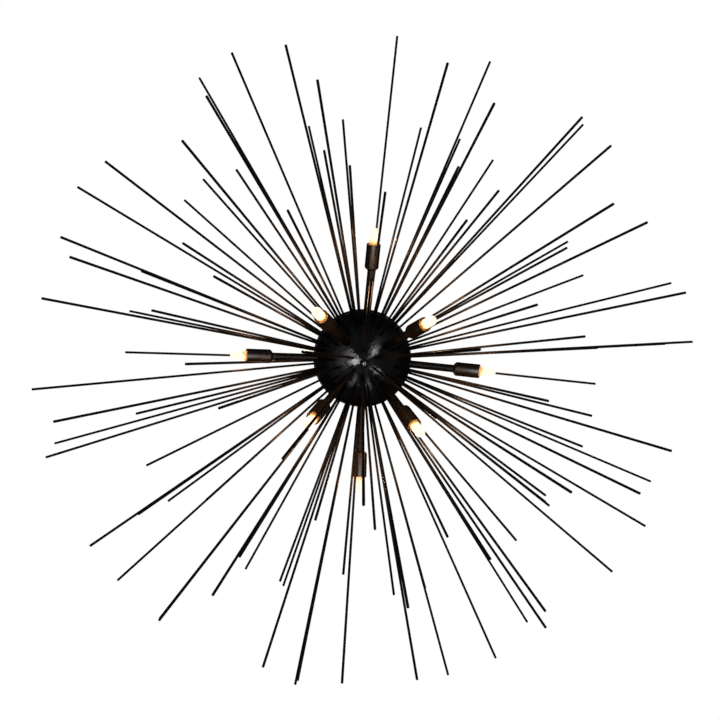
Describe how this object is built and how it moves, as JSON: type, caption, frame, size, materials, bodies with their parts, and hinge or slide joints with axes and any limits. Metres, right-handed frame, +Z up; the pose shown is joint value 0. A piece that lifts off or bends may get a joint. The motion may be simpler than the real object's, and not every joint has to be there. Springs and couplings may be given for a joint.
{
  "type": "starburst flush mount ceiling light",
  "caption": "Black dome on the ceiling with thin straight rods of two lengths bursting outward and small capsule lamps in cylindrical socket cups among them.",
  "frame": {"origin": "middle of the mounting plate's upper face, on the ceiling plane, midway between its two slots", "axes": "+Z up into the ceiling, the light hangs along -Z; the plate's slots run along X"},
  "size_m": [0.9849, 0.9874, 0.5123],
  "materials": {
    "black_rod": "satin black lacquer",
    "black_metal": "semi-gloss black lacquer",
    "zinc_steel": "zinc plated",
    "white_plastic": "moulded",
    "black_insulation": "moulded",
    "white_insulation": "moulded",
    "white_ceramic": "fired ceramic",
    "bulb_ceramic": "fired ceramic with wire pins",
    "frosted_glass": "frosted, lit"
  },
  "bodies": {
    "fixture": {"rod_row_1": "black_rod", "rod_row_2": "black_rod", "rod_row_3": "black_rod", "rod_row_4": "black_rod", "rod_row_5": "black_rod", "rod_row_6": "black_rod", "rod_row_7": "black_rod", "rod_row_8": "black_rod", "dome": "black_metal", "ball_finial": "black_metal", "centre_stud": "zinc_steel", "stud_nut": "zinc_steel", "mounting_plate": "zinc_steel", "ground_screw": "zinc_steel", "terminal_block_screws": "zinc_steel", "arm_locknuts": "zinc_steel", "terminal_block_1": "white_plastic", "terminal_block_2": "white_plastic", "live_leads": "black_insulation", "neutral_leads": "white_insulation", "lamp_arm_1": "black_metal", "socket_cup_1": "black_metal", "lampholder_1": "white_ceramic", "lamp_arm_2": "black_metal", "socket_cup_2": "black_metal", "lampholder_2": "white_ceramic", "lamp_arm_3": "black_metal", "socket_cup_3": "black_metal", "lampholder_3": "white_ceramic", "lamp_arm_4": "black_metal", "socket_cup_4": "black_metal", "lampholder_4": "white_ceramic", "lamp_arm_5": "black_metal", "socket_cup_5": "black_metal", "lampholder_5": "white_ceramic", "lamp_arm_6": "black_metal", "socket_cup_6": "black_metal", "lampholder_6": "white_ceramic", "lamp_arm_7": "black_metal", "socket_cup_7": "black_metal", "lampholder_7": "white_ceramic", "lamp_arm_8": "black_metal", "socket_cup_8": "black_metal", "lampholder_8": "white_ceramic"},
    "bulb_1": {"bulb_base_1": "bulb_ceramic", "bulb_glass_1": "frosted_glass"},
    "bulb_2": {"bulb_base_2": "bulb_ceramic", "bulb_glass_2": "frosted_glass"},
    "bulb_3": {"bulb_base_3": "bulb_ceramic", "bulb_glass_3": "frosted_glass"},
    "bulb_4": {"bulb_base_4": "bulb_ceramic", "bulb_glass_4": "frosted_glass"},
    "bulb_5": {"bulb_base_5": "bulb_ceramic", "bulb_glass_5": "frosted_glass"},
    "bulb_6": {"bulb_base_6": "bulb_ceramic", "bulb_glass_6": "frosted_glass"},
    "bulb_7": {"bulb_base_7": "bulb_ceramic", "bulb_glass_7": "frosted_glass"},
    "bulb_8": {"bulb_base_8": "bulb_ceramic", "bulb_glass_8": "frosted_glass"}
  },
  "joints": [
    {"name": "bulb_1_pull", "type": "slide", "parent": "fixture", "child": "bulb_1", "axis": [0.9623, 0.0842, -0.2588], "range_m": [0, 0.045]},
    {"name": "bulb_2_pull", "type": "slide", "parent": "fixture", "child": "bulb_2", "axis": [0.3778, 0.4503, -0.809], "range_m": [0, 0.045]},
    {"name": "bulb_3_pull", "type": "slide", "parent": "fixture", "child": "bulb_3", "axis": [-0.0337, 0.9653, -0.2588], "range_m": [0, 0.045]},
    {"name": "bulb_4_pull", "type": "slide", "parent": "fixture", "child": "bulb_4", "axis": [-0.4022, 0.3884, -0.829], "range_m": [0, 0.045]},
    {"name": "bulb_5_pull", "type": "slide", "parent": "fixture", "child": "bulb_5", "axis": [-0.9646, -0.0506, -0.2588], "range_m": [0, 0.045]},
    {"name": "bulb_6_pull", "type": "slide", "parent": "fixture", "child": "bulb_6", "axis": [-0.3379, -0.3887, -0.8572], "range_m": [0, 0.045]},
    {"name": "bulb_7_pull", "type": "slide", "parent": "fixture", "child": "bulb_7", "axis": [0.0842, -0.9623, -0.2588], "range_m": [0, 0.045]},
    {"name": "bulb_8_pull", "type": "slide", "parent": "fixture", "child": "bulb_8", "axis": [0.4524, -0.3287, -0.829], "range_m": [0, 0.045]}
  ]
}
